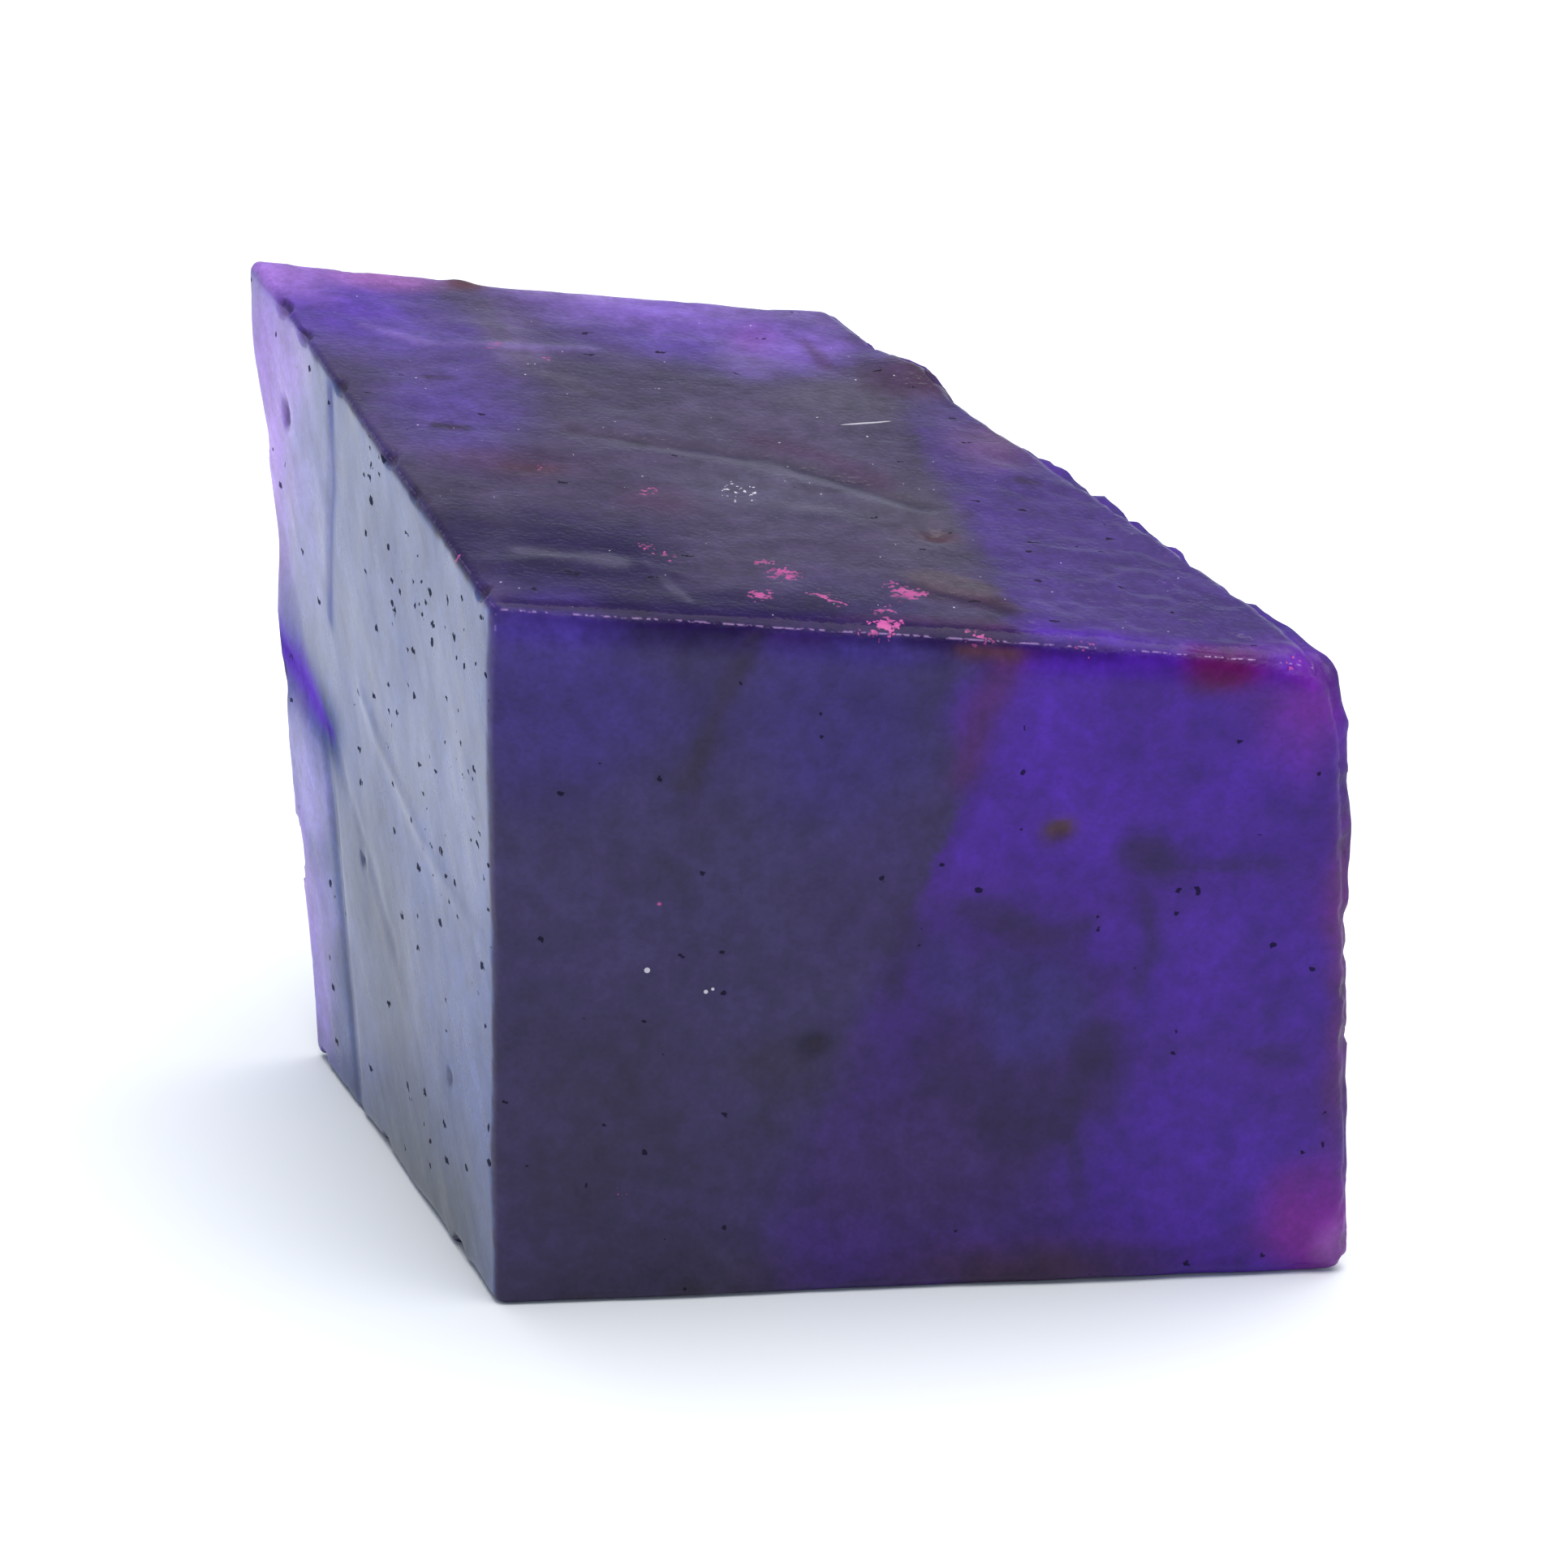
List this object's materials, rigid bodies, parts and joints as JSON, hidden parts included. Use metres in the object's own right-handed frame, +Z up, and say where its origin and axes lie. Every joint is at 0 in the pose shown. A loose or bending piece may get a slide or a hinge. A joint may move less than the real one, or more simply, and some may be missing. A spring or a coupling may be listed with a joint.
{
  "type": "raw tanzanite block",
  "caption": "Sawn block of rough violet-blue gem crystal with worn and chipped edges, pitted faces and a flat underside to rest on.",
  "frame": {"origin": "middle of the block's bounding box, on the surface that it rests on", "axes": "+Z up; the large sawn front faces -Y; +X runs along the front's bottom edge, to the right as seen from the front"},
  "size_m": [0.04, 0.0306, 0.0316],
  "materials": {
    "tanzanite": "sawn and softly worn, satin, translucent violet-blue with pale lilac edges"
  },
  "bodies": {
    "root": {"tanzanite_block": "tanzanite"}
  },
  "joints": []
}
